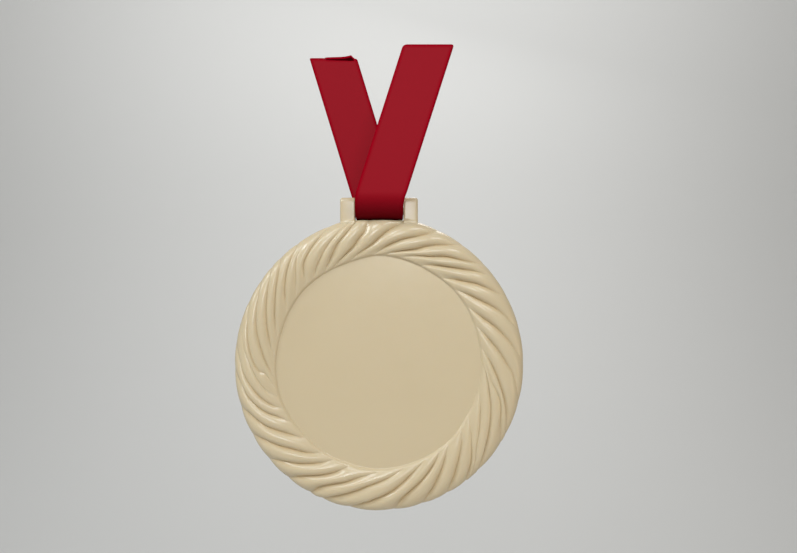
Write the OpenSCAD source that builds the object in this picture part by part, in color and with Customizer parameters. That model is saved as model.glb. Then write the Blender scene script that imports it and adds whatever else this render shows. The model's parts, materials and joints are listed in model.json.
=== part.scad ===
// A blank medal on a red ribbon. The medal is one casting: a round disc with a bare sunk field, a
// domed border of sweeping ribs, and two lugs on its top edge. The ribbon passes under a bar between
// the lugs and goes up in two strands that part in a V.
// Sizes are in millimetres. +X is the viewer's right, +Z is up, and the medal faces -Y.

/* [Disc] */
// Diameter of the disc, half way between its height and its width
disc_d = 60; // [58:0.5:62]
// How much further the disc reaches at its top and bottom than that
oval = 0.16; // [0:0.02:0.3]
// How much further the edge still reaches under the lugs, where it swells to carry them
top_swell = 0.45; // [0:0.05:0.6]
// Thickness at the crown of the border
rim_t = 5; // [4.6:0.1:5.6]
// Depth of the field below the crown of the border
field_sink = 1.3; // [1:0.1:1.6]
// Height of the steep wall round the field, below the border's rounding
wall_h = 0.5; // [0.3:0.1:0.7]
// Mean radius of the field
field_r = 21.2; // [20.9:0.1:21.5]
// Height of the edge's widest line above the back
edge_h = 1.9; // [1.5:0.1:2.2]
// Width of the rounding between the edge and the flat back
back_round = 1; // [0.6:0.1:1.4]

/* [Ribs] */
// Depth of the grooves between the ribs
groove = 0.6; // [0.3:0.05:0.7]
// Fullness of the border's rounding: 2 is a plain ellipse
fullness = 2.3; // [2:0.1:2.6]

/* [Lugs and bar] */
// Width of each lug
lug_w = 2.85; // [2.65:0.1:3.25]
// Depth of each lug from front to back
lug_t = 3; // [2.9:0.1:3.4]
// How far the lugs and the bar stand behind the disc's middle plane
lug_back = 0.5; // [0.2:0.1:0.6]
// Height of the lugs above the disc's edge
lug_h = 4.3; // [4:0.1:5]
// Radius of the lugs' top corners
lug_round = 0.6; // [0.4:0.1:0.9]
// Diameter of the bar
bar_d = 1.6; // [1.4:0.1:1.7]
// How far the bar goes into each lug
bar_grip = 1.8; // [1.2:0.1:2]

/* [Ribbon] */
// Width of the ribbon
ribbon_w = 9.75; // [9.25:0.1:9.95]
// Thickness of the ribbon
ribbon_t = 1; // [1:0.1:1.2]
// Radius of the middle of the ribbon's bend below the bar
bend_r = 4.8; // [4.4:0.1:5.2]
// Height of the front strand's cut end above the disc's edge
ribbon_h = 34.5; // [28:0.1:40]
// How much higher the back strand is cut than the front one
back_more = 0.4; // [0:0.1:0.8]
// How far the front strand moves sideways for each millimetre that it rises
front_splay = 0.32; // [0.2:0.01:0.36]
// How far the back strand moves sideways for each millimetre that it rises
back_splay = 0.305; // [0.205:0.01:0.355]
// Height of the raised tip at the cut end of the back strand
tip_h = 0.7; // [0.4:0.1:1]

/* [Hidden] */

// Clearance round the bar, and between the ribbon and each thing beside or below it
bar_play = 0.1;
side_play = 0.1;
foot_play = 0.1;
// How far the ribbon hangs to the right of the middle between the lugs
ribbon_x = 0.08;
// Depth of the flat on the disc's top edge that the ribbon hangs over
flat_cut = 0.3;
// How far the lugs' feet reach into the disc
lug_sunk = 3;
cyl_fn = 48;

disc_r = disc_d / 2;
flat_z = disc_r - flat_cut;
lug_top = disc_r + lug_h;
ribbon_top = disc_r + ribbon_h;
lug_in = ribbon_w / 2 + ribbon_x + side_play;
lug_out = lug_in + lug_w;
bar_end = lug_in + bar_grip;
ribbon_foot = flat_z + foot_play;
bend_z = ribbon_foot + ribbon_t / 2 + bend_r;
bar_z = ribbon_foot + ribbon_t + bar_play + bar_d / 2;

// The two strands. Each row is [its side of the bar, how far it moves to the right for each millimetre
// of rise, how far below the bend's centre it starts to, height of its cut end, and the radii of that
// end's corners at the viewer's left and right].
FRONT = [-1, front_splay, 1.65, ribbon_top, 0.8, 0.4];
BACK = [1, -back_splay, 3.15, ribbon_top + back_more, 0.2, 0.8];
function strand_on(side) = side > 0 ? BACK : FRONT;

// A strand starts to lean smoothly over a short height, and then goes on in a straight line. The
// ribbon's width is square to its length, so it measures more across where it leans.
part_h = 1.6;
function above_start(side, z) = z - bend_z + strand_on(side)[2];
function sideways(side, z) =
    let (e = above_start(side, z))
    ribbon_x + strand_on(side)[1] * (e <= -part_h ? 0 : e >= part_h ? e : pow(e + part_h, 2) / (4 * part_h));
function half_across(side, z) =
    let (lean = strand_on(side)[1] * min(1, max(0, above_start(side, z) / (2 * part_h) + 0.5)))
    ribbon_w / 2 * sqrt(1 + pow(lean, 2));
end_x = sideways(-1, ribbon_top);

// The field's edge is carved by hand, and strays from a circle. Each value is how far it lies beyond
// the field's mean radius, clockwise from 12 o'clock at every 15 degrees.
FIELD_EDGE = [
    1.25, 0.9, 0.52, 0.45, 0.15, -0.22, -0.25, -0.32, -0.43, -0.15, -0.15, -0.1,
    0.05, -0.18, -0.2, -0.33, -0.25, -0.08, -0.18, -0.25, 0.05, 0.48, 0.57, 0.7
];
field_edge_step = 360 / len(FIELD_EDGE);

// The grooves of the border, clockwise from 12 o'clock. Each row is one groove. The first six columns
// are its angle in degrees at six radii, from chart_r outwards in steps of chart_step. The last three
// are how deep it is at the field, half way and at the edge, as a share of the full depth. Short
// grooves that fade out before the edge end in 0.
chart_r = 0.7167 * disc_r;
chart_step = 0.05 * disc_r;
GROOVES = [
    [-18, -10.5, -3.7, 0.2, 3.4, 6.8, 0.7, 1, 0.8],
    [-9, -1, 4.5, 10.1, 16, 20.2, 0.8, 1, 0.7],
    [-4.5, 5.7, 16.3, 21.3, 26, 31.2, 1, 1, 0.5],
    [6, 15, 25.2, 31.4, 38.2, 43.2, 0.4, 1, 0.4],
    [20, 27.7, 35.2, 41, 45.2, 50, 0.9, 1, 0.1],
    [34, 40.5, 45.9, 50.3, 55, 59.6, 0.9, 1, 0.4],
    [43.5, 51, 57.4, 62.2, 66.8, 73.2, 1, 1, 0.4],
    [56, 64.6, 70.1, 75.3, 80.3, 86, 1, 1, 0.4],
    [68.7, 76.7, 82.8, 88.7, 93.3, 100.7, 0.9, 0.9, 0.4],
    [82, 90, 97, 102.9, 108.4, 115, 0.8, 0.9, 0.7],
    [88, 97.5, 102.3, 107.3, 115, 119.7, 0.1, 0.6, 0.7],
    [91.8, 102.8, 111.5, 119.7, 127.2, 133.2, 0.6, 0.8, 0.9],
    [107, 116.3, 123.8, 130.2, 134, 138.5, 1, 0.4, 0],
    [121, 125.5, 129.8, 133.2, 136.6, 140.6, 0.4, 0.7, 0.9],
    [128.5, 133, 137.8, 142.2, 145.8, 149.5, 0.5, 1, 1],
    [139, 144, 148.4, 152.5, 156, 160, 0.4, 1, 1],
    [144.5, 151, 157.4, 164, 169, 172, 0.7, 1, 1],
    [154.7, 162.9, 169, 174.7, 181, 187.3, 0.6, 1, 1],
    [166, 175.5, 184.3, 190, 195, 200, 0.5, 1, 1],
    [179, 189.5, 195.2, 201, 205, 207, 0.4, 1, 1],
    [197, 201, 205.4, 210, 214, 217, 0.5, 1, 0.9],
    [206, 210.8, 215.3, 219.6, 223.8, 227.5, 0.5, 0.9, 0.8],
    [214, 219.7, 226, 230.7, 235, 239, 0.7, 1, 0.9],
    [227, 232.8, 237.3, 241.3, 246.3, 250.8, 0.8, 1, 0.9],
    [238, 243, 246.5, 250.8, 256.3, 264.5, 0.6, 1, 0.7],
    [246, 249.2, 253.5, 259, 265.2, 274.5, 0.5, 1, 0.4],
    [252.5, 256.2, 262, 269.5, 276, 284, 0.5, 0.5, 0],
    [258, 265.3, 267.8, 273.7, 282.3, 291.3, 0.5, 0.8, 0.6],
    [264, 271.8, 279.6, 286.4, 294.2, 301.3, 0.9, 1, 0.7],
    [275, 284, 291.3, 298.2, 304.2, 309, 0.8, 1, 0.8],
    [285, 293.3, 300.5, 306.2, 311.2, 314.8, 0.7, 1, 1],
    [299, 304.3, 308.8, 313.2, 317.6, 322.4, 0.7, 1, 1],
    [309, 312.5, 316.3, 319.4, 322.5, 327, 0.5, 0.7, 0],
    [317, 319.3, 321.4, 324.3, 329.3, 334.8, 0.4, 1, 1],
    [322, 325.7, 330.5, 335, 339.8, 344.8, 0.8, 0.9, 0.4],
    [327.5, 333.3, 337.4, 340.8, 345, 348.6, 1, 1, 0.8],
    [332, 340.7, 347.3, 350.7, 353.6, 355, 0.9, 1, 0.6]
];
// Share of the groove's depth that is cut, from the field at 0 to the edge at 1
GROOVE_FADE = [[0, 0], [0.02, 0.5], [0.12, 0.9], [0.3, 1], [0.8, 1], [0.93, 0.6], [1, 0.2]];

// Where the border's crown lies between the field and the edge, and how far the wall leans on the way
crown = 0.5;
wall_lean = 0.045;
cols_a_rib = 6;
inner_rings = 5;
outer_rings = 7;
back_rings = 3;
ribs = len(GROOVES);
cols = ribs * cols_a_rib;
rings = 1 + inner_rings + outer_rings + back_rings;

function edge_r(a) = disc_r + oval * cos(2 * a) + top_swell * pow(max(0, cos(a)), 8);
function foot_r(a) =
    let (
        u = ((a + 360) % 360) / field_edge_step,
        k = floor(u),
        next = FIELD_EDGE[(k + 1) % len(FIELD_EDGE)]
    )
    field_r + FIELD_EDGE[k] + (u - k) * (next - FIELD_EDGE[k]);
function border_r(a, share) = foot_r(a) + share * (edge_r(a) - foot_r(a));
function full(s) = pow(s, 2 / fullness);

// The border's section. Each ring is [share of the way from field to edge, height above the back,
// how far it leans out, how far it faces forward, inset from the edge].
function ring(j) =
    j == 0
        ? [0, rim_t - field_sink, 0, 1, 0]
    : j <= inner_rings
        ? let (t = (j - 1) / (inner_rings - 1))
          [
              wall_lean + (crown - wall_lean) * t,
              rim_t - (field_sink - wall_h) * pow(1 - t, 2),
              -0.35 * (1 - t),
              1,
              0
          ]
    : j <= inner_rings + outer_rings
        ? let (p = 90 * (j - inner_rings) / outer_rings)
          [crown + (1 - crown) * full(sin(p)), edge_h + (rim_t - edge_h) * full(cos(p)), sin(p), cos(p), 0]
        : let (p = 90 * (j - inner_rings - outer_rings) / back_rings)
          [1, edge_h * (1 - sin(p)), 0, 0, back_round * (1 - cos(p))];

// Angle and depth of a groove at a share of the way from the field to the edge. The angle is looked up
// at the radius that the border has there, which depends a little on the angle again.
function charted_angle(g, r) =
    let (
        u = (r - chart_r) / chart_step,
        k = min(4, max(0, floor(u)))
    )
    g[k] + (u - k) * (g[k + 1] - g[k]);
function groove_angle(g, share, a, tries = 3) =
    tries == 0 ? a : groove_angle(g, share, charted_angle(g, border_r(a, share)), tries - 1);
function groove_depth(g, share) = lookup(share, [[0, g[6]], [0.5, g[7]], [1, g[8]]]);

// Each ring with the angles of all its grooves, and of the first one again a turn further
RINGS = [
    for (j = [0:rings - 1])
        let (
            q = ring(j),
            angles = [for (g = GROOVES) groove_angle(g, q[0], g[1])]
        )
        [q, concat(angles, [angles[0] + 360])]
];

// A border point lies on its groove or at its share of the way to the next groove. Its depth below the
// tops of the ribs makes a V in each groove and is level on each rib.
function border_point(j, c) =
    let (
        q = RINGS[j][0],
        angles = RINGS[j][1],
        i = floor(c / cols_a_rib),
        f = (c % cols_a_rib) / cols_a_rib,
        a = angles[i] + f * (angles[i + 1] - angles[i]),
        near = groove_depth(GROOVES[i], q[0]) * pow(1 - min(1, 2 * f), 2),
        far = groove_depth(GROOVES[(i + 1) % ribs], q[0]) * pow(1 - min(1, 2 - 2 * f), 2),
        cut = groove * (near + far) * lookup(q[0], GROOVE_FADE),
        r = border_r(a, q[0]) - q[4] - cut * q[2],
        h = q[1] - cut * q[3]
    )
    [r * sin(a), rim_t / 2 - h, r * cos(a)];

module disc() {
    points = concat(
        [for (j = [0:rings - 1], c = [0:cols - 1]) border_point(j, c)],
        [[0, field_sink - rim_t / 2, 0], [0, rim_t / 2, 0]]
    );
    field_hub = rings * cols;
    back_hub = field_hub + 1;
    last = (rings - 1) * cols;
    faces = concat(
        [for (c = [0:cols - 1]) [field_hub, c, (c + 1) % cols]],
        [
            for (j = [0:rings - 2], c = [0:cols - 1], t = [0, 1])
                let (
                    a = j * cols + c,
                    b = j * cols + (c + 1) % cols
                )
                t == 0 ? [a, a + cols, b] : [a + cols, b + cols, b]
        ],
        [for (c = [0:cols - 1]) [back_hub, last + (c + 1) % cols, last + c]]
    );
    polyhedron(points, faces);
}

module lug() {
    foot_z = disc_r - lug_sunk;
    intersection() {
        // Seen from the front: a post with two rounded top corners
        translate([0, lug_t, 0]) rotate([90, 0, 0]) linear_extrude(2 * lug_t) {
            translate([lug_in, foot_z]) square([lug_w, lug_top - lug_round - foot_z]);
            translate([lug_in + lug_round, foot_z]) square([lug_w - 2 * lug_round, lug_top - foot_z]);
            for (x = [lug_in + lug_round, lug_out - lug_round])
                translate([x, lug_top - lug_round]) circle(lug_round, $fn = cyl_fn);
        }
        // Seen from the side: a post with a round top
        translate([lug_in, 0, 0]) rotate([90, 0, 90]) linear_extrude(lug_w) {
            translate([-lug_t / 2, foot_z]) square([lug_t, lug_top - lug_t / 2 - foot_z]);
            translate([0, lug_top - lug_t / 2]) circle(lug_t / 2, $fn = cyl_fn);
        }
    }
}

module across(d, half) {
    translate([-half, 0, bar_z]) rotate([0, 90, 0]) cylinder(d = d, h = 2 * half, $fn = cyl_fn);
}

// Moves the disc's centre so that the origin is at the cut end of the front strand
module placed() {
    translate([-end_x, bend_r - lug_back, -ribbon_top]) children();
}
// Moves what is drawn about the disc's middle plane back to the lugs' middle plane
module set_back() {
    translate([0, lug_back, 0]) children();
}

module medal_body() {
    color("#cbbb9b") placed() difference() {
        union() {
            disc();
            set_back() {
                lug();
                mirror([1, 0, 0]) lug();
            }
        }
        set_back() across(bar_d + 2 * bar_play, bar_end + bar_play);
        translate([-lug_in, -rim_t, flat_z]) cube([2 * lug_in, 2 * rim_t, disc_r]);
    }
}

module ribbon_bar() {
    color("#bfae8c") placed() set_back() across(bar_d, bar_end);
}

// Distances of the ribbon's cross lines from each cut end, close together at the rounded corners
END_STEPS = [0, 0.06, 0.2, 0.45, 0.8, 6, 14];
bend_steps = 18;
edge_steps = 4;

function corner_inset(e, r) = e >= r ? 0 : r - sqrt(pow(r, 2) - pow(r - e, 2));
function reversed(list) = [for (i = [len(list) - 1:-1:0]) list[i]];

// The ribbon's cross lines from the front end, round the bend, to the back end. Each is [distance from
// the middle plane, height, turn of its face about X, insets at its left and right edge].
function strand(s) = [
    for (e = END_STEPS)
        [s[0] * bend_r, s[3] - e, s[0] > 0 ? 180 : 0, [corner_inset(e, s[4]), corner_inset(e, s[5])]]
];
ROUTE = concat(
    strand(FRONT),
    [for (k = [0:bend_steps])
        let (a = 180 * k / bend_steps)
        [-bend_r * cos(a), bend_z - bend_r * sin(a), a, [0, 0]]],
    reversed(strand(BACK))
);
// The ribbon's section: two flats with a round edge at each side
function section(half, insets) = [
    for (s = [0, 1], k = [0:edge_steps])
        let (
            a = 180 * k / edge_steps - 90,
            out = half - insets[s] - ribbon_t / 2 * (1 - cos(a))
        )
        s == 0 ? [-out, ribbon_t / 2 * sin(a)] : [out, -ribbon_t / 2 * sin(a)]
];

module strip() {
    around = 2 * (edge_steps + 1);
    points = [
        for (q = ROUTE, p = section(half_across(q[0], q[1]), q[3]))
            [
                p[0] + sideways(q[0], q[1]),
                q[0] + p[1] * cos(q[2]),
                q[1] + p[1] * sin(q[2])
            ]
    ];
    last = (len(ROUTE) - 1) * around;
    faces = concat(
        [[for (k = [0:around - 1]) k]],
        [
            for (j = [0:len(ROUTE) - 2], k = [0:around - 1], t = [0, 1])
                let (
                    a = j * around + k,
                    b = j * around + (k + 1) % around
                )
                t == 0 ? [a, a + around, b] : [a + around, b + around, b]
        ],
        [[for (k = [around - 1:-1:0]) last + k]]
    );
    polyhedron(points, faces);
}

// The raised tip: a thin flap of the back strand's end that stands up behind its cut edge
tip_t = 0.4;
tip_w = 6.2;
tip_from_corner = 1.2;
tip_root = 0.8;
module raised_tip() {
    top = BACK[3];
    right = sideways(1, top) + half_across(1, top) - tip_from_corner;
    translate([0, bend_r + ribbon_t / 2, 0]) rotate([90, 0, 0]) linear_extrude(tip_t)
        polygon([
            [right - tip_w, top - tip_root],
            [right - tip_w, top],
            [right, top + tip_h],
            [right, top - tip_root]
        ]);
}

module ribbon() {
    color("#961c26") placed() set_back() {
        strip();
        raised_tip();
    }
}

medal_body();
ribbon_bar();
ribbon();
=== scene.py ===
# A blank medal on a red ribbon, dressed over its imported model. The sections follow the medal as it
# is made: the casting with its lugs, the bar between them, the ribbon, and then the studio.
import json
import math

import bmesh
import bpy
from mathutils import Matrix, Vector


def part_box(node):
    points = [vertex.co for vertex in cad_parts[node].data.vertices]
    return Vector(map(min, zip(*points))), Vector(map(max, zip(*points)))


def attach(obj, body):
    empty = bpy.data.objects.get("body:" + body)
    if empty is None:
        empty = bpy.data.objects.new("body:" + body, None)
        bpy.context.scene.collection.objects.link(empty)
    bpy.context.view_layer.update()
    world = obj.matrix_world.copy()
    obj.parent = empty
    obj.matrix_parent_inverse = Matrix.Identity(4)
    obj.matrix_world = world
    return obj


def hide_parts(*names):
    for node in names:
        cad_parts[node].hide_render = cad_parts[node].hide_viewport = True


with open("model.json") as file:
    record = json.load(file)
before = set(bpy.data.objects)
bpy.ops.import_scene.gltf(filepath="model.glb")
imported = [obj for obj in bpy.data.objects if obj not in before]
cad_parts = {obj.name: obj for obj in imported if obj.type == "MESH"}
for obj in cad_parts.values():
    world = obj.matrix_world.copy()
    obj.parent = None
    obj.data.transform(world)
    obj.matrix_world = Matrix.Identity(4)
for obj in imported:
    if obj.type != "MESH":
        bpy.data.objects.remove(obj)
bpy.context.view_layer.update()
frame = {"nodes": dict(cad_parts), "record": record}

# The casting is one piece of cream resin, poured in a rubber mould and waxed. Its front is a flat
# bare field with a domed border of hand carved ribs that sweep round it, and its back is plain.
# All of it is made in millimetres about the disc's centre, and then put in its place.
casting_low, casting_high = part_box("medal_body")
mounts = {mount["name"]: Vector(mount["pos_m"]) for mount in frame["record"]["mounts"]}
disc_centre = Vector(
    (mounts["back_face"].x, (casting_low.y + casting_high.y) / 2, mounts["back_face"].z)
)
from_disc = Matrix.Translation(disc_centre) @ Matrix.Scale(0.001, 4)

# The disc's radius, how far its top stands out of that circle and its sides lie inside it, and how far
# its edge swells under the lugs and how narrow that swell is
disc_r = 30
oval = 0.16
top_swell = 0.45
swell_power = 8
# The casting's full thickness, the field's depth below it, and the field's mean radius
rim_t = 5
field_sink = 1.3
field_r = 21.2
# The wall round the field: its height, its lean as a share of the border, and its profile from foot
# to lip, in shares of that lean and height
wall_h = 0.5
wall_lean = 0.05
WALL = ((0.12, 0.12), (0.35, 0.42), (0.58, 0.72))
# The border's dome: the share of its width inside the crown, the height where its outer side starts,
# how square its curve is, and the rounding of the back edge
crown = 0.5
edge_h = 1.9
fullness = 2.3
back_round = 1
# The grooves' full depth, how sharp their bottoms are, and how far inwards the wall faces for their cut
groove = 0.85
rib_shape = 2.3
wall_facing = 0.35

# How far the carved edge of the field lies beyond its mean radius, clockwise from the top
FIELD_EDGE = (
    1.25, 0.9, 0.52, 0.45, 0.15, -0.22, -0.25, -0.32, -0.43, -0.15, -0.15, -0.1,
    0.05, -0.18, -0.2, -0.33, -0.25, -0.08, -0.18, -0.25, 0.05, 0.48, 0.57, 0.7,
)

# The chart of the grooves, clockwise from the top: a groove's angle in degrees at six radii that
# are one step apart, and its depth at the field, half way and at the edge as a share of the full one
chart_r = 21.5
chart_step = 1.5
chart_radii = 6
GROOVES = (
    (-18, -10.5, -3.7, 0.2, 3.4, 6.8, 0.7, 1, 0.8),
    (-9, -1, 4.5, 10.1, 16, 20.2, 0.8, 1, 0.7),
    (-4.5, 5.7, 16.3, 21.3, 26, 31.2, 1, 1, 0.5),
    (6, 15, 25.2, 31.4, 38.2, 43.2, 0.4, 1, 0.4),
    (20, 27.7, 35.2, 41, 45.2, 50, 0.9, 1, 0.1),
    (34, 40.5, 45.9, 50.3, 55, 59.6, 0.9, 1, 0.4),
    (43.5, 51, 57.4, 62.2, 66.8, 73.2, 1, 1, 0.4),
    (56, 64.6, 70.1, 75.3, 80.3, 86, 1, 1, 0.4),
    (68.7, 76.7, 82.8, 88.7, 93.3, 100.7, 0.9, 0.9, 0.4),
    (82, 90, 97, 102.9, 108.4, 115, 0.8, 0.9, 0.7),
    (88, 97.5, 102.3, 107.3, 115, 119.7, 0.1, 0.6, 0.7),
    (91.8, 102.8, 111.5, 119.7, 127.2, 133.2, 0.6, 0.8, 0.9),
    (107, 116.3, 123.8, 130.2, 134, 138.5, 1, 0.4, 0),
    (121, 125.5, 129.8, 133.2, 136.6, 140.6, 0.4, 0.7, 0.9),
    (128.5, 133, 137.8, 142.2, 145.8, 149.5, 0.5, 1, 1),
    (139, 144, 148.4, 152.5, 156, 160, 0.4, 1, 1),
    (144.5, 151, 157.4, 164, 169, 172, 0.7, 1, 1),
    (154.7, 162.9, 169, 174.7, 181, 187.3, 0.6, 1, 1),
    (166, 175.5, 184.3, 190, 195, 200, 0.5, 1, 1),
    (179, 189.5, 195.2, 201, 205, 207, 0.4, 1, 1),
    (197, 201, 205.4, 210, 214, 217, 0.5, 1, 0.9),
    (206, 210.8, 215.3, 219.6, 223.8, 227.5, 0.5, 0.9, 0.8),
    (214, 219.7, 226, 230.7, 235, 239, 0.7, 1, 0.9),
    (227, 232.8, 237.3, 241.3, 246.3, 250.8, 0.8, 1, 0.9),
    (238, 243, 246.5, 250.8, 256.3, 264.5, 0.6, 1, 0.7),
    (246, 249.2, 253.5, 259, 265.2, 274.5, 0.5, 1, 0.4),
    (252.5, 256.2, 262, 269.5, 276, 284, 0.5, 0.5, 0),
    (258, 265.3, 267.8, 273.7, 282.3, 291.3, 0.5, 0.8, 0.6),
    (264, 271.8, 279.6, 286.4, 294.2, 301.3, 0.9, 1, 0.7),
    (275, 284, 291.3, 298.2, 304.2, 309, 0.8, 1, 0.8),
    (285, 293.3, 300.5, 306.2, 311.2, 314.8, 0.7, 1, 1),
    (299, 304.3, 308.8, 313.2, 317.6, 322.4, 0.7, 1, 1),
    (309, 312.5, 316.3, 319.4, 322.5, 327, 0.5, 0.7, 0),
    (317, 319.3, 321.4, 324.3, 329.3, 334.8, 0.4, 1, 1),
    (322, 325.7, 330.5, 335, 339.8, 344.8, 0.8, 0.9, 0.4),
    (327.5, 333.3, 337.4, 340.8, 345, 348.6, 1, 1, 0.8),
    (332, 340.7, 347.3, 350.7, 353.6, 355, 0.9, 1, 0.6),
)
# The carving is shallower at the left and the lower right: degrees clockwise from the top, and the
# share of the full depth there
CARVING = (
    (0, 0.96), (35, 0.9), (60, 0.86), (85, 0.8), (140, 0.76), (165, 0.98),
    (200, 0.96), (235, 0.86), (258, 0.6), (330, 0.6), (352, 0.96),
)
# The grooves run out at the field and the edge: share of the way between them, share of the depth
GROOVE_FADE = ((0, 0), (0.04, 0.15), (0.12, 0.55), (0.25, 1), (0.8, 1), (0.93, 0.6), (1, 0.2))
cols_a_rib = 18
columns = cols_a_rib * len(GROOVES)


def along(values, t):
    """The value at t on a smooth curve through evenly spaced values, straight on past its ends."""
    last = len(values) - 1
    i = min(max(math.floor(t), 0), last - 1)
    a, b = values[i], values[i + 1]
    f = t - i
    if not 0 <= f <= 1:
        return a + f * (b - a)
    before = values[i - 1] if i else 2 * a - b
    after = values[i + 2] if i + 2 <= last else 2 * b - a
    bend = 2 * before - 5 * a + 4 * b - after
    return a + f * (b - before + f * (bend + f * (3 * (a - b) + after - before))) / 2


def between(table, x):
    """The value at x in a table of (place, value) pairs, in straight lines."""
    if x <= table[0][0]:
        return table[0][1]
    for (x0, y0), (x1, y1) in zip(table, table[1:]):
        if x <= x1:
            return y0 + (y1 - y0) * (x - x0) / (x1 - x0)
    return table[-1][1]


def full(s):
    """One of the two coordinates on the dome's squarish curve, from that of a round one."""
    return s ** (2 / fullness)


def border_r(angle, share):
    """The border's radius at that angle and share of the way from the field to the edge."""
    turn = math.radians(angle)
    edge = disc_r + oval * math.cos(2 * turn) + top_swell * max(0, math.cos(turn)) ** swell_power
    place = angle % 360 * len(FIELD_EDGE) / 360 + 1
    foot = field_r + along((FIELD_EDGE[-1],) + FIELD_EDGE + FIELD_EDGE[:2], place)
    return foot + share * (edge - foot)


def border_rings():
    """The section's rings: share of the way to the edge, height, facing out, facing forward, inset."""
    inner, outer, back = 20, 40, 8
    wall_foot = rim_t - field_sink
    rings = [(0, wall_foot, 0, 1, 0)]
    for outwards, up in WALL:
        rings.append((outwards * wall_lean, wall_foot + up * wall_h, -wall_facing, 1, 0))
    for j in range(inner + 1):
        t = j / inner
        height = rim_t - (field_sink - wall_h) * (1 - t) ** 2
        rings.append((wall_lean + (crown - wall_lean) * t, height, -wall_facing * (1 - t), 1, 0))
    for j in range(1, outer + 1):
        p = math.pi / 2 * j / outer
        height = edge_h + (rim_t - edge_h) * full(max(0, math.cos(p)))
        rings.append((crown + (1 - crown) * full(math.sin(p)), height, math.sin(p), math.cos(p), 0))
    for j in range(1, back + 1):
        p = math.pi / 2 * j / back
        rings.append((1, edge_h * (1 - math.sin(p)), 0, 0, back_round * (1 - math.cos(p))))
    return rings


def groove_angle(row, share):
    """A groove's charted angle, looked up at the radius that the border has there."""
    angle = row[1]
    for _ in range(3):
        angle = along(row[:chart_radii], (border_r(angle, share) - chart_r) / chart_step)
    return angle


def border_points(ring):
    """Where the ring's points lie, one for each column, and how deep each is cut."""
    share, height, out, forward, inset = ring
    angles = [groove_angle(row, share) for row in GROOVES]
    depths = [max(0, along(row[chart_radii:], 2 * share)) for row in GROOVES]
    depths = [depth * between(CARVING, row[2] % 360) for depth, row in zip(depths, GROOVES)]
    angles.append(angles[0] + 360)
    depths.append(depths[0])
    fade = between(GROOVE_FADE, share)
    points = []
    for column in range(columns):
        i, c = divmod(column, cols_a_rib)
        f = (1 - math.cos(math.pi * c / cols_a_rib)) / 2
        angle = angles[i] + f * (angles[i + 1] - angles[i])
        near = depths[i] * (1 - min(1, 2 * f)) ** rib_shape
        far = depths[i + 1] * (1 - min(1, 2 - 2 * f)) ** rib_shape
        cut = groove * (near + far) * fade
        r = border_r(angle, share) - inset - cut * out
        y = rim_t / 2 - height + cut * forward
        turn = math.radians(angle)
        points.append((Vector((r * math.sin(turn), y, r * math.cos(turn))), cut))
    return points


# The flat field and the flat back are rings between their middles and the border's first and last
# ring. The field's last one lies close to the wall, so that the line at the wall's foot stays crisp.
FIELD_RINGS = (0, 0.3, 0.6, 0.9, 0.993)
BACK_RINGS = (0.8, 0.4, 0)
field_hub = Vector((0, field_sink - rim_t / 2, 0))
back_hub = Vector((0, rim_t / 2, 0))
border = [border_points(ring) for ring in border_rings()]
surface = [[(field_hub.lerp(p, share), 0) for p, cut in border[0]] for share in FIELD_RINGS]
surface += border
surface += [[(back_hub.lerp(p, share), 0) for p, cut in border[-1]] for share in BACK_RINGS]

# A grid with a line for each ring and column is wrapped over the disc, and closed at its seam and poles
casting = bmesh.new()
last_ring = len(surface) - 1
bmesh.ops.create_grid(casting, x_segments=columns, y_segments=last_ring, size=0.5)
cut_depth = casting.verts.layers.float.new("cut")
joins = []
for vert in casting.verts:
    column = round((vert.co.x + 0.5) * columns) % columns
    ring = round((vert.co.y + 0.5) * last_ring)
    vert.co, vert[cut_depth] = surface[ring][column]
    if column == 0 or ring in (0, last_ring):
        joins.append(vert)
bmesh.ops.remove_doubles(casting, verts=joins, dist=0.001)

# The two lugs are cast in one with the disc, each a post with a round top and a blind socket for
# the bar. Between them the disc's edge is cut flat, and the ribbon hangs round the bar over it.
LUGS = (
    # side, its inner face and its outer face from the middle
    (-1, 4.93, 8),
    (1, 5.055, 8),
)
# A lug's depth, how far it stands behind the disc's middle plane, and the heights of its top and foot
lug_t = 3
lug_back = 0.5
lug_top = 34.45
lug_foot = 29
# How square its top is (1 is round), and the rounding of its outer and inner edges
lug_square = 0.6
lug_outer_round = 0.5
lug_inner_round = 0.3
# Its front is the first face_depth of its depth. Outside a flat strip it curves back, by face_curve
# for each millimetre squared.
face_depth = 0.4
face_flat = 1.3
face_curve = 0.025
# Near its foot the front blends into the border over lug_blend, just under the border's surface. Below
# foot_dive_z it dives deeper, and past the disc's edge the border counts as falling back steeply.
blend_h = 2.5
lug_blend = 1
foot_sink = 0.03
foot_dive = 0.5
foot_dive_z = 29.6
foot_dive_h = 0.7
edge_fall = 3
# The cuts across and up a lug that give its front the points that it needs to curve, and their step up
lug_cuts = 10
cut_step = 0.25
cut_start = 0.3
# The bar's socket, and the flat between the lugs
bar_z = 31.7
socket_r = 0.9
socket_end = 6.955
socket_rim = 0.2
flat_z = 29.7
flat_half_w = 6
for vert in casting.verts:
    if abs(vert.co.x) < flat_half_w and vert.co.z > flat_z:
        vert.co.z = flat_z


def border_front(x, z):
    """How far forward the border's rounding lies at a place in its outer half, without the grooves."""
    angle = math.degrees(math.atan2(x, z))
    foot, edge = border_r(angle, 0), border_r(angle, 1)
    beyond = math.hypot(x, z) - edge
    if beyond >= 0:
        return rim_t / 2 - edge_h + edge_fall * beyond
    s = (1 + beyond / (edge - foot) - crown) / (1 - crown)
    rise = math.sqrt(1 - min(1, s**fullness))
    return rim_t / 2 - edge_h - (rim_t - edge_h) * full(rise)


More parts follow.
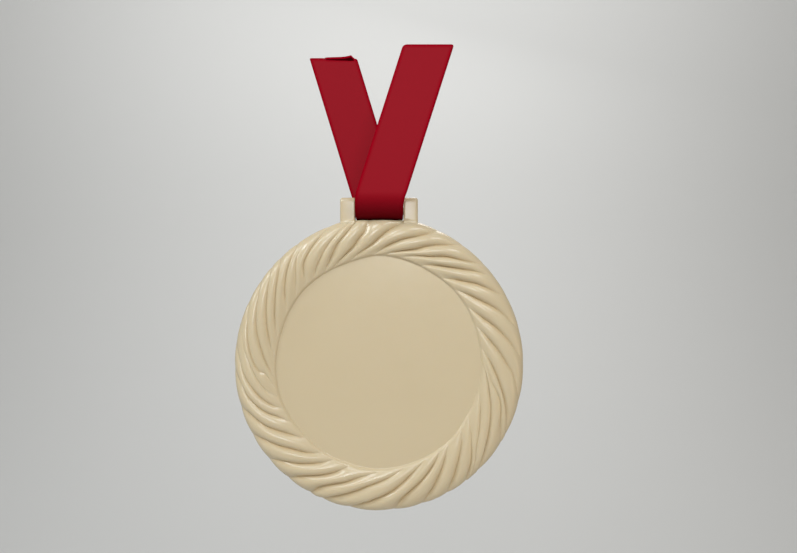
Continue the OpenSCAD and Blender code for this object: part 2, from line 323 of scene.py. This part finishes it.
def flow_into_border(place):
    """The lug's front at that place, smoothed into the border's rounding at the lug's foot."""
    dive = min(1, max(0, (foot_dive_z - place.z) / foot_dive_h)) ** 2
    target = border_front(place.x, place.z) + foot_sink + foot_dive * dive
    share = max(0, 1 - abs(place.y - target) / lug_blend)
    return min(place.y, target) - share**2 * lug_blend / 4


for side, lug_in, lug_out in LUGS:
    lug = bmesh.new()
    bmesh.ops.create_circle(lug, cap_ends=True, segments=64, radius=lug_t / 2)
    bmesh.ops.rotate(lug, verts=lug.verts, matrix=Matrix.Rotation(math.pi / 2, 3, "Y"))
    bmesh.ops.translate(lug, verts=lug.verts, vec=(lug_out, 0, lug_top - lug_t / 2))
    for vert in lug.verts:
        rise = (vert.co.z - lug_top) / (lug_t / 2) + 1
        if rise < -0.01:
            vert.co.z -= lug_top - lug_t / 2 - lug_foot
        else:
            vert.co.z = lug_top + (max(0, rise) ** lug_square - 1) * lug_t / 2
            vert.co.y = math.copysign(abs(2 * vert.co.y / lug_t) ** lug_square, vert.co.y) * lug_t / 2
    outer_edges = lug.edges[:]
    grown = bmesh.ops.extrude_face_region(lug, geom=lug.faces[:])["geom"]
    inner_verts = [g for g in grown if isinstance(g, bmesh.types.BMVert)]
    inner_edges = [g for g in grown if isinstance(g, bmesh.types.BMEdge)]
    bmesh.ops.translate(lug, verts=inner_verts, vec=(lug_in - lug_out, 0, 0))
    for edges, radius in ((outer_edges, lug_outer_round), (inner_edges, lug_inner_round)):
        bmesh.ops.bevel(
            lug,
            geom=edges,
            offset=radius,
            segments=6,
            profile=0.5,
            affect="EDGES",
            material=-1,
            clamp_overlap=True,
        )
    inner_face = min(
        lug.faces,
        key=lambda face: (round(face.calc_center_median().x, 3), -face.calc_area()),
    )
    bmesh.ops.inset_region(lug, faces=[inner_face], thickness=socket_rim)
    for vert in inner_face.verts:
        spoke = Vector((0, vert.co.y, vert.co.z - bar_z)).normalized() * socket_r
        vert.co = (lug_in, spoke.y, bar_z + spoke.z)
    grown = bmesh.ops.extrude_face_region(lug, geom=[inner_face])["geom"]
    end_verts = [g for g in grown if isinstance(g, bmesh.types.BMVert)]
    bmesh.ops.translate(lug, verts=end_verts, vec=(socket_end - lug_in, 0, 0))
    bmesh.ops.translate(lug, verts=lug.verts, vec=(0, lug_back, 0))
    for k in range(1, lug_cuts + 1):
        level = Vector((0, 0, lug_foot - cut_start + cut_step * k))
        upright = Vector((lug_in + (lug_out - lug_in) * k / (lug_cuts + 1), 0, 0))
        for place, way in ((level, Vector((0, 0, 1))), (upright, Vector((1, 0, 0)))):
            parts = lug.verts[:] + lug.edges[:] + lug.faces[:]
            bmesh.ops.bisect_plane(lug, geom=parts, plane_co=place, plane_no=way)
    for vert in lug.verts:
        if vert.co.y < lug_back - lug_t / 2 + face_depth:
            vert.co.y += face_curve * max(0, vert.co.x - lug_in - face_flat) ** 2
            if lug_foot - 0.1 < vert.co.z < lug_foot + blend_h:
                vert.co.y = flow_into_border(vert.co)
    bmesh.ops.scale(lug, verts=lug.verts, vec=(side, 1, 1))
    bmesh.ops.recalc_face_normals(lug, faces=lug.faces)
    lug_mesh = bpy.data.meshes.new("lug")
    lug.to_mesh(lug_mesh)
    lug.free()
    casting.from_mesh(lug_mesh)
    bpy.data.meshes.remove(lug_mesh)


def finished_piece(bm, name, crease):
    """A smooth object of that mesh, with sharp edges where faces turn by more than the crease."""
    bmesh.ops.recalc_face_normals(bm, faces=bm.faces)
    mesh = bpy.data.meshes.new(name)
    bm.to_mesh(mesh)
    bm.free()
    mesh.shade_smooth()
    mesh.set_sharp_from_angle(angle=math.radians(crease))
    piece = bpy.data.objects.new(name, mesh)
    bpy.context.scene.collection.objects.link(piece)
    return piece


bmesh.ops.transform(casting, matrix=from_disc, verts=casting.verts)
medal_casting = finished_piece(casting, "medal_casting", 50)


def put(tree, kind, sockets=None, **settings):
    """A new node of that kind, with its settings and the values of its sockets."""
    made = tree.nodes.new(kind)
    for name, value in settings.items():
        setattr(made, name, value)
    for name, value in (sockets or {}).items():
        made.inputs[name].default_value = value
    return made


# Cream resin with a faint random cloudy tone, and painted shade: the colour is painted darker and
# browner in the grooves, where shade falls
def resin_group():
    """The node group that both resin materials use."""
    group = bpy.data.node_groups.new("resin_painted_groove_shade", "ShaderNodeTree")
    for name, kind in (("Top", "Color"), ("MottleAndShade", "Color"), ("GrooveShade", "Float")):
        group.interface.new_socket(name=name, in_out="INPUT", socket_type="NodeSocket" + kind)
    for name, kind in (("Colour", "Color"), ("Roughness", "Float"), ("Height", "Float")):
        group.interface.new_socket(name=name, in_out="OUTPUT", socket_type="NodeSocket" + kind)
    given = put(group, "NodeGroupInput")
    made = put(group, "NodeGroupOutput")
    place = put(group, "ShaderNodeTexCoord")
    clouds = put(group, "ShaderNodeTexNoise", {"Scale": 60.0, "Detail": 1.0, "Roughness": 0.5})
    ripples = put(group, "ShaderNodeTexNoise", {"Scale": 420.0, "Detail": 2.0, "Roughness": 0.5})
    grain = put(group, "ShaderNodeTexNoise", {"Scale": 2600.0, "Detail": 3.0, "Roughness": 0.6})
    for texture in (clouds, ripples, grain):
        group.links.new(place.outputs["Object"], texture.inputs["Vector"])
    cloud_share = put(group, "ShaderNodeMapRange", {"From Min": 0.2, "From Max": 0.8, "To Max": 0.06})
    group.links.new(clouds.outputs["Fac"], cloud_share.inputs["Value"])
    # Painted shade in the grooves: the colour is mixed towards the dark brown there, as it is for the
    # faint random clouds
    mottle_and_shade_share = put(group, "ShaderNodeMath", operation="ADD", use_clamp=True)
    group.links.new(given.outputs["GrooveShade"], mottle_and_shade_share.inputs[0])
    group.links.new(cloud_share.outputs["Result"], mottle_and_shade_share.inputs[1])
    tone = put(group, "ShaderNodeMix", data_type="RGBA")
    group.links.new(mottle_and_shade_share.outputs[0], tone.inputs["Factor"])
    group.links.new(given.outputs["Top"], tone.inputs["A"])
    group.links.new(given.outputs["MottleAndShade"], tone.inputs["B"])
    group.links.new(tone.outputs["Result"], made.inputs["Colour"])
    rough = put(
        group,
        "ShaderNodeMapRange",
        {"From Min": 0.3, "From Max": 0.7, "To Min": 0.2, "To Max": 0.25},
    )
    group.links.new(ripples.outputs["Fac"], rough.inputs["Value"])
    group.links.new(rough.outputs["Result"], made.inputs["Roughness"])
    height = put(group, "ShaderNodeMath", {1: 0.12}, operation="MULTIPLY_ADD")
    group.links.new(grain.outputs["Fac"], height.inputs[0])
    group.links.new(ripples.outputs["Fac"], height.inputs[2])
    group.links.new(height.outputs[0], made.inputs["Height"])
    return group


resin_painted_groove_shade = resin_group()


def resin_material(name, top, mottle_and_shade, groove_shade_mask):
    """Cream resin with a satin gloss, and painted shade in the grooves from the named attribute, if
    any.
    """
    material = bpy.data.materials.new(name)
    material.use_nodes = True
    tree = material.node_tree
    shader = tree.nodes["Principled BSDF"]
    shader.inputs["IOR"].default_value = 1.44
    shader.inputs["Subsurface Weight"].default_value = 0.12
    shader.inputs["Subsurface Radius"].default_value = (1.0, 0.6, 0.3)
    shader.inputs["Subsurface Scale"].default_value = 0.0004
    resin = put(tree, "ShaderNodeGroup", node_tree=resin_painted_groove_shade)
    resin.inputs["Top"].default_value = (*top, 1)
    resin.inputs["MottleAndShade"].default_value = (*mottle_and_shade, 1)
    if groove_shade_mask:
        # The groove cut's depth is the mask for the painted shade in the grooves
        cut = put(tree, "ShaderNodeAttribute", attribute_name=groove_shade_mask)
        share = put(tree, "ShaderNodeMapRange", {"From Min": 0.2, "From Max": 0.7, "To Max": 0.45})
        tree.links.new(cut.outputs["Fac"], share.inputs["Value"])
        tree.links.new(share.outputs["Result"], resin.inputs["GrooveShade"])
    bump = put(tree, "ShaderNodeBump", {"Strength": 0.2, "Distance": 0.00012})
    tree.links.new(resin.outputs["Height"], bump.inputs["Height"])
    tree.links.new(resin.outputs["Colour"], shader.inputs["Base Color"])
    tree.links.new(resin.outputs["Roughness"], shader.inputs["Roughness"])
    tree.links.new(bump.outputs["Normal"], shader.inputs["Normal"])
    return material


# The second colour is the brown of the painted groove shade and of the faint clouds
cast_cream = resin_material("cast_cream", (0.62, 0.51, 0.335), (0.44, 0.3, 0.14), "cut")
medal_casting.data.materials.append(cast_cream)
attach(medal_casting, "root")
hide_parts("medal_body")

# The bar is a plain round resin pin, pushed into the lugs' sockets when they are still soft. The
# ribbon hides all of it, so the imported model's own bar stays.
bar = frame["nodes"]["ribbon_bar"]
bar.data.materials.clear()
bar.data.materials.append(resin_material("bar_cream", (0.52, 0.43, 0.28), (0.4, 0.28, 0.14), None))

# The ribbon is one strip of woven satin with firm rounded selvedges. It hangs round the bar, and its
# two strands cross above the lugs and part in a V. The cut end of the back strand has split open a
# little, and its rear layer stands up in a small tip.
ribbon_w = 9.75
ribbon_t = 1
selvedge = 0.22
# How far to the right of the middle it hangs, the radius and the height of its bend round the bar,
# and half the height over which a strand comes to lean
ribbon_x = 0.08
bend_r = 4.8
bend_z = 35.1
part_h = 1.6
# Points across one face and round one selvedge
across = 48
round_edge = 6
around = 2 * (across + round_edge)

# A strand's side of the bar, its move to the right for each millimetre of rise, the height where it
# starts to, the height of its cut end, and the radii of that end's two corners
FRONT = {"side": -1, "lean": 0.32, "lean_z": 33.45, "end_z": 64.5, "corners": (0.65, 0.4)}
BACK = {"side": 1, "lean": -0.305, "lean_z": 31.95, "end_z": 64.9, "corners": (0.2, 0.4)}
front_l = FRONT["end_z"] - bend_z
bend_l = math.pi * bend_r
back_l = BACK["end_z"] - bend_z
route_l = front_l + bend_l + back_l

# The strip's cross lines: the way along it from the front end, and the share of its full thickness.
# At both ends they close to a line, at the back end down in the split.
END_LINES = (
    (0, 0.7), (0.08, 0.93), (0.2, 1), (0.3, 1), (0.42, 1),
    (0.56, 1), (0.72, 1), (0.9, 1), (1.2, 1), (1.6, 1),
)
# The lines down into the split: share of the full thickness, depth below the lips, and how much painted
# shade darkens its colour
IN_SPLIT = ((0.4, 0, 0), (0.36, 0.36, 0), (0.34, 0.48, 0.9), (0.3, 1.4, 1), (0, 1.4, 1))
end_l = 2
RUNS = (
    # a run's start, its length and its lines: the front strand, the bend and the back strand
    (end_l, front_l - end_l, 52),
    (front_l, bend_l, 60),
    (front_l + bend_l, back_l - end_l, 52),
)
cross_lines = [(0, 0)] + list(END_LINES)
for start, length, steps in RUNS:
    cross_lines += [(start + length * k / steps, 1) for k in range(steps)]
cross_lines.append((route_l - end_l, 1))
cross_lines += [(route_l - e, share) for e, share in reversed(END_LINES)]
split_row = len(cross_lines)
cross_lines += [(route_l, share) for share, depth, split_shade_amount in IN_SPLIT]

# How far down the strand the split is felt, the drop of the front layer that opens it all the way,
# and its two layers over the strip's width
split_h = 1.6
open_drop = 0.4
SPLIT = (
    # place across, the front layer's drop, the rear layer's rise
    (-2, 0, 0),
    (-1.85, 0.15, 0.24),
    (-1.55, 0.42, 0.34),
    (1.4, 0.54, 0.44),
    (2.45, 0.56, 0.52),
    (3.25, 0.6, 0.68),
    (3.8, 0.6, 0.84),
    (4.3, 0.6, 0.28),
    (4.65, 0.3, 0),
    (5.2, 0, 0),
)

# The ribbon's colour gets painted shade in its fold round the bar, and its gloss fades there too: the
# painted shade starts at fold_top, and would be full fold_h further down
fold_top = 35.6
fold_h = 7
fold_power = 1.6


def lean(strand, z):
    """The strand's move to the right for each millimetre of rise, at that height."""
    return strand["lean"] * min(1, max(0, (z - strand["lean_z"]) / (2 * part_h) + 0.5))


def sideways(strand, z):
    """How far to the right the strand's middle line lies at that height."""
    rise = z - strand["lean_z"]
    if rise <= -part_h:
        return ribbon_x
    if rise < part_h:
        rise = (rise + part_h) ** 2 / (4 * part_h)
    return ribbon_x + strand["lean"] * rise


def on_route(s):
    """The strand at s from the front end, the place of its middle line, and the way its face looks."""
    if s < front_l:
        z = FRONT["end_z"] - s
        return FRONT, Vector((sideways(FRONT, z), lug_back - bend_r, z)), Vector((0, -1, 0))
    if s > front_l + bend_l:
        z = bend_z + s - front_l - bend_l
        return BACK, Vector((sideways(BACK, z), lug_back + bend_r, z)), Vector((0, 1, 0))
    turn = (s - front_l) / bend_r
    z = bend_z - bend_r * math.sin(turn)
    strand = FRONT if turn < math.pi / 2 else BACK
    middle = Vector((sideways(strand, z), lug_back - bend_r * math.cos(turn), z))
    return strand, middle, Vector((0, -math.cos(turn), -math.sin(turn)))


def corner_inset(e, radius):
    """How far a rounded corner keeps the edge in, at e from the cut end."""
    return 0 if e >= radius else radius - math.sqrt(radius**2 - (radius - e) ** 2)


def section_point(k, left, right, thick):
    """The kth point round the strip's section: its place across, and out of the middle line."""
    if k < across:
        return left + selvedge + (right - left - 2 * selvedge) * k / across, thick
    if k < across + round_edge:
        turn = math.pi * (k - across) / round_edge
        return right - selvedge + selvedge * math.sin(turn), thick * math.cos(turn)
    x, out = section_point(k - across - round_edge, left, right, thick)
    return left + right - x, -out


flat_places = [0]
for (s0, _), (s1, _) in zip(cross_lines, cross_lines[1:]):
    flat_places.append(flat_places[-1] + (on_route(s1)[1] - on_route(s0)[1]).length)
flat_l = flat_places[-1]

strip = bmesh.new()
last_line = len(cross_lines) - 1
bmesh.ops.create_grid(strip, x_segments=around, y_segments=last_line, size=0.5)
flat_place = strip.loops.layers.uv.new("flat")
painted_split_shade = strip.verts.layers.float.new("painted_split_shade")
from_edge = strip.verts.layers.float.new("from_edge")
painted_fold_shade = strip.verts.layers.float.new("painted_fold_shade")
flat_of = {}
for vert in strip.verts:
    k = round((vert.co.x + 0.5) * around) % around
    line = round((vert.co.y + 0.5) * last_line)
    s, thickness = cross_lines[line]
    from_end = min(s, route_l - s)
    strand, middle, facing = on_route(s)
    slant = lean(strand, middle.z)
    slope = math.sqrt(1 + slant**2)
    half = ribbon_w / 2 * slope
    left_inset, right_inset = (corner_inset(from_end, radius) for radius in strand["corners"])
    left, right = left_inset - half, half - right_inset
    x, out = section_point(k, left, right, ribbon_t / 2 * thickness)
    place = middle + Vector((x, 0, 0)) + facing * out
    drop, rise = (between([(q[0], q[i]) for q in SPLIT], x) for i in (1, 2))
    reach = max(0, (s - route_l + split_h) / split_h) ** 2
    place.z += reach * (rise if out > 0 else -drop)
    # Inside the split the colour gets painted shade, where the slot lies in shadow
    if line >= split_row:
        _, depth, split_shade_amount = IN_SPLIT[line - split_row]
        open_share = min(1, drop / open_drop)
        place.z -= depth * open_share
        vert[painted_split_shade] = split_shade_amount * open_share
    vert[from_edge] = min(from_end, (x - left) / slope, (right - x) / slope)
    # Painted shade for the fold round the bar, darker further down
    vert[painted_fold_shade] = min(1, max(0, (fold_top - place.z) / fold_h)) ** fold_power
    flat_along = flat_places[line] + strand["side"] * x * slant / slope
    flat_of[vert] = (x / slope / ribbon_w + 0.5, flat_along / flat_l)
    vert.co = place
for face in strip.faces:
    for loop in face.loops:
        loop[flat_place].uv = flat_of[loop.vert]
bmesh.ops.remove_doubles(strip, verts=strip.verts, dist=0.0005)
bmesh.ops.transform(strip, matrix=from_disc, verts=strip.verts)
red_ribbon = finished_piece(strip, "red_ribbon", 60)


def satin_material():
    """Red satin: a pale gloss in the middle that the selvedges and cut ends lack, and painted shade in
    the split and the fold.
    """
    material = bpy.data.materials.new("red_satin")
    material.use_nodes = True
    tree = material.node_tree
    shader = tree.nodes["Principled BSDF"]
    shader.inputs["Specular IOR Level"].default_value = 0.0
    shader.inputs["Roughness"].default_value = 0.6
    shader.inputs["Coat Roughness"].default_value = 0.5
    shader.inputs["Coat IOR"].default_value = 1.5
    edge = put(tree, "ShaderNodeAttribute", attribute_name="from_edge")
    gloss = put(
        tree,
        "ShaderNodeMapRange",
        {"From Min": 0.1, "From Max": 0.95, "To Min": 0.0, "To Max": 0.18},
        interpolation_type="SMOOTHSTEP",
    )
    tree.links.new(edge.outputs["Fac"], gloss.inputs["Value"])
    # In the fold round the bar the colour gets painted shade, and the gloss fades with it
    fold_shade_mask = put(tree, "ShaderNodeAttribute", attribute_name="painted_fold_shade")
    unshaded = put(tree, "ShaderNodeMath", {0: 1.0}, operation="SUBTRACT")
    tree.links.new(fold_shade_mask.outputs["Fac"], unshaded.inputs[1])
    unshaded_gloss = put(tree, "ShaderNodeMath", operation="MULTIPLY")
    tree.links.new(gloss.outputs["Result"], unshaded_gloss.inputs[0])
    tree.links.new(unshaded.outputs[0], unshaded_gloss.inputs[1])
    tree.links.new(unshaded_gloss.outputs[0], shader.inputs["Coat Weight"])
    flat = put(tree, "ShaderNodeUVMap", uv_map="flat")
    stretch = put(tree, "ShaderNodeMapping", {"Scale": (60, 900, 1)})
    tree.links.new(flat.outputs["UV"], stretch.inputs["Vector"])
    weft = put(tree, "ShaderNodeTexNoise", {"Scale": 1.0, "Detail": 2.0, "Roughness": 0.5})
    tree.links.new(stretch.outputs["Vector"], weft.inputs["Vector"])
    thread = put(
        tree,
        "ShaderNodeMix",
        {"A": (0.265, 0.0007, 0.0078, 1), "B": (0.305, 0.0009, 0.0092, 1)},
        data_type="RGBA",
    )
    tree.links.new(weft.outputs["Fac"], thread.inputs["Factor"])
    split_shade_mask = put(tree, "ShaderNodeAttribute", attribute_name="painted_split_shade")
    # Painted shade: the colour is mixed towards near black in the split and in the fold
    shade = put(tree, "ShaderNodeMath", operation="MAXIMUM")
    tree.links.new(split_shade_mask.outputs["Fac"], shade.inputs[0])
    tree.links.new(fold_shade_mask.outputs["Fac"], shade.inputs[1])
    shaded = put(tree, "ShaderNodeMix", {"B": (0.02, 0.0, 0.0005, 1)}, data_type="RGBA")
    tree.links.new(shade.outputs[0], shaded.inputs["Factor"])
    tree.links.new(thread.outputs["Result"], shaded.inputs["A"])
    tree.links.new(shaded.outputs["Result"], shader.inputs["Base Color"])
    bump = put(tree, "ShaderNodeBump", {"Strength": 0.25, "Distance": 0.00005})
    tree.links.new(weft.outputs["Fac"], bump.inputs["Height"])
    tree.links.new(bump.outputs["Normal"], shader.inputs["Normal"])
    return material


red_ribbon.data.materials.append(satin_material())
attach(red_ribbon, "root")
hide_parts("ribbon")

# The studio: a pale floor that curves up behind the medal, soft lamps, and a camera square to the
# medal, a little above and to the right of its middle. The floor's sizes are in metres: its depth below
# the medal, its front edge, half its width, its flat part, its cove and the upright part behind.
floor_drop = 0.2
floor_front = -0.6
floor_half_w = 2
floor_l = 0.85
cove_r = 0.35
cove_l = cove_r * math.pi / 2
paper_h = 1.2
floor = bmesh.new()
bmesh.ops.create_grid(floor, x_segments=1, y_segments=48, size=1)
for vert in floor.verts:
    walk = (vert.co.y + 1) / 2 * (floor_l + cove_l + paper_h)
    if walk < floor_l:
        y, z = walk, 0
    elif walk < floor_l + cove_l:
        turn = (walk - floor_l) / cove_r
        y, z = floor_l + cove_r * math.sin(turn), cove_r * (1 - math.cos(turn))
    else:
        y, z = floor_l + cove_r, cove_r + walk - floor_l - cove_l
    vert.co = (vert.co.x * floor_half_w, y + floor_front, z + casting_low.z - floor_drop)
pale_floor = finished_piece(floor, "pale_floor", 60)
paper = bpy.data.materials.new("pale_paper")
paper.use_nodes = True
paper.node_tree.nodes["Principled BSDF"].inputs["Base Color"].default_value = (0.6, 0.6, 0.59, 1)
paper.node_tree.nodes["Principled BSDF"].inputs["Roughness"].default_value = 0.85
pale_floor.data.materials.append(paper)

# Each lamp looks at a point on the medal from the same distance. One stands behind, for the back.
lit_point = disc_centre + Vector((0, 0, 0.02))
lamp_reach = 0.6
LAMPS = (
    # name, degrees to the viewer's right, degrees up, size, watts, tint
    ("key", -60, 40, 0.1, 0.88, (0.92, 0.97, 1)),
    ("upper", -22, 43, 0.15, 0.86, (0.88, 0.95, 1)),
    ("right", 30, 40, 0.15, 0.78, (0.92, 0.96, 1)),
    ("left", -80, 25, 0.06, 0.48, (0.93, 0.97, 1)),
    ("front", 0, 15, 0.2, 0.77, (0.92, 0.97, 1)),
    ("low", 60, -10, 0.22, 0.35, (1, 0.75, 0.45)),
    ("behind", 165, 48, 0.25, 0.9, (1, 1, 1)),
    ("glint", 1.5, 8, 0.05, 0.24, (0.9, 0.95, 1)),
)
for name, turn, tilt, size, watts, tint in LAMPS:
    lamp = bpy.data.lights.new(name, "AREA")
    lamp.size = size
    lamp.energy = watts
    lamp.color = tint
    holder = bpy.data.objects.new(name, lamp)
    turn, tilt = math.radians(turn), math.radians(tilt)
    way = Vector((math.sin(turn) * math.cos(tilt), -math.cos(turn) * math.cos(tilt), math.sin(tilt)))
    holder.location = lit_point + lamp_reach * way
    holder.rotation_euler = (-way).to_track_quat("-Z", "Y").to_euler()
    bpy.context.scene.collection.objects.link(holder)

# One more lamp stands behind the medal, above the view, and lights the paper alone
backdrop = bpy.data.lights.new("backdrop", "AREA")
backdrop.size = 0.6
backdrop.energy = 2.2
holder = bpy.data.objects.new("backdrop", backdrop)
holder.location = disc_centre + Vector((0, 0.15, 0.5))
holder.rotation_euler = (math.pi / 2, 0, 0)
bpy.context.scene.collection.objects.link(holder)

room = bpy.data.worlds.new("room")
room.use_nodes = True
room.node_tree.nodes["Background"].inputs["Color"].default_value = (1, 0.96, 0.9, 1)
room.node_tree.nodes["Background"].inputs["Strength"].default_value = 0.26
bpy.context.scene.world = room
bpy.context.scene.view_settings.view_transform = "Standard"

# The camera's place from the disc's centre, in millimetres
CAMERA_PLACE = (4.01, -137.2, 18.16)
camera_data = bpy.data.cameras.new("camera")
camera_data.lens = 30
camera_data.sensor_width = 36
camera_data.clip_start = 0.01
camera = bpy.data.objects.new("camera", camera_data)
camera.location = disc_centre + Vector(CAMERA_PLACE) * 0.001
camera.rotation_euler = (math.pi / 2, 0, 0)
bpy.context.scene.collection.objects.link(camera)
bpy.context.scene.camera = camera
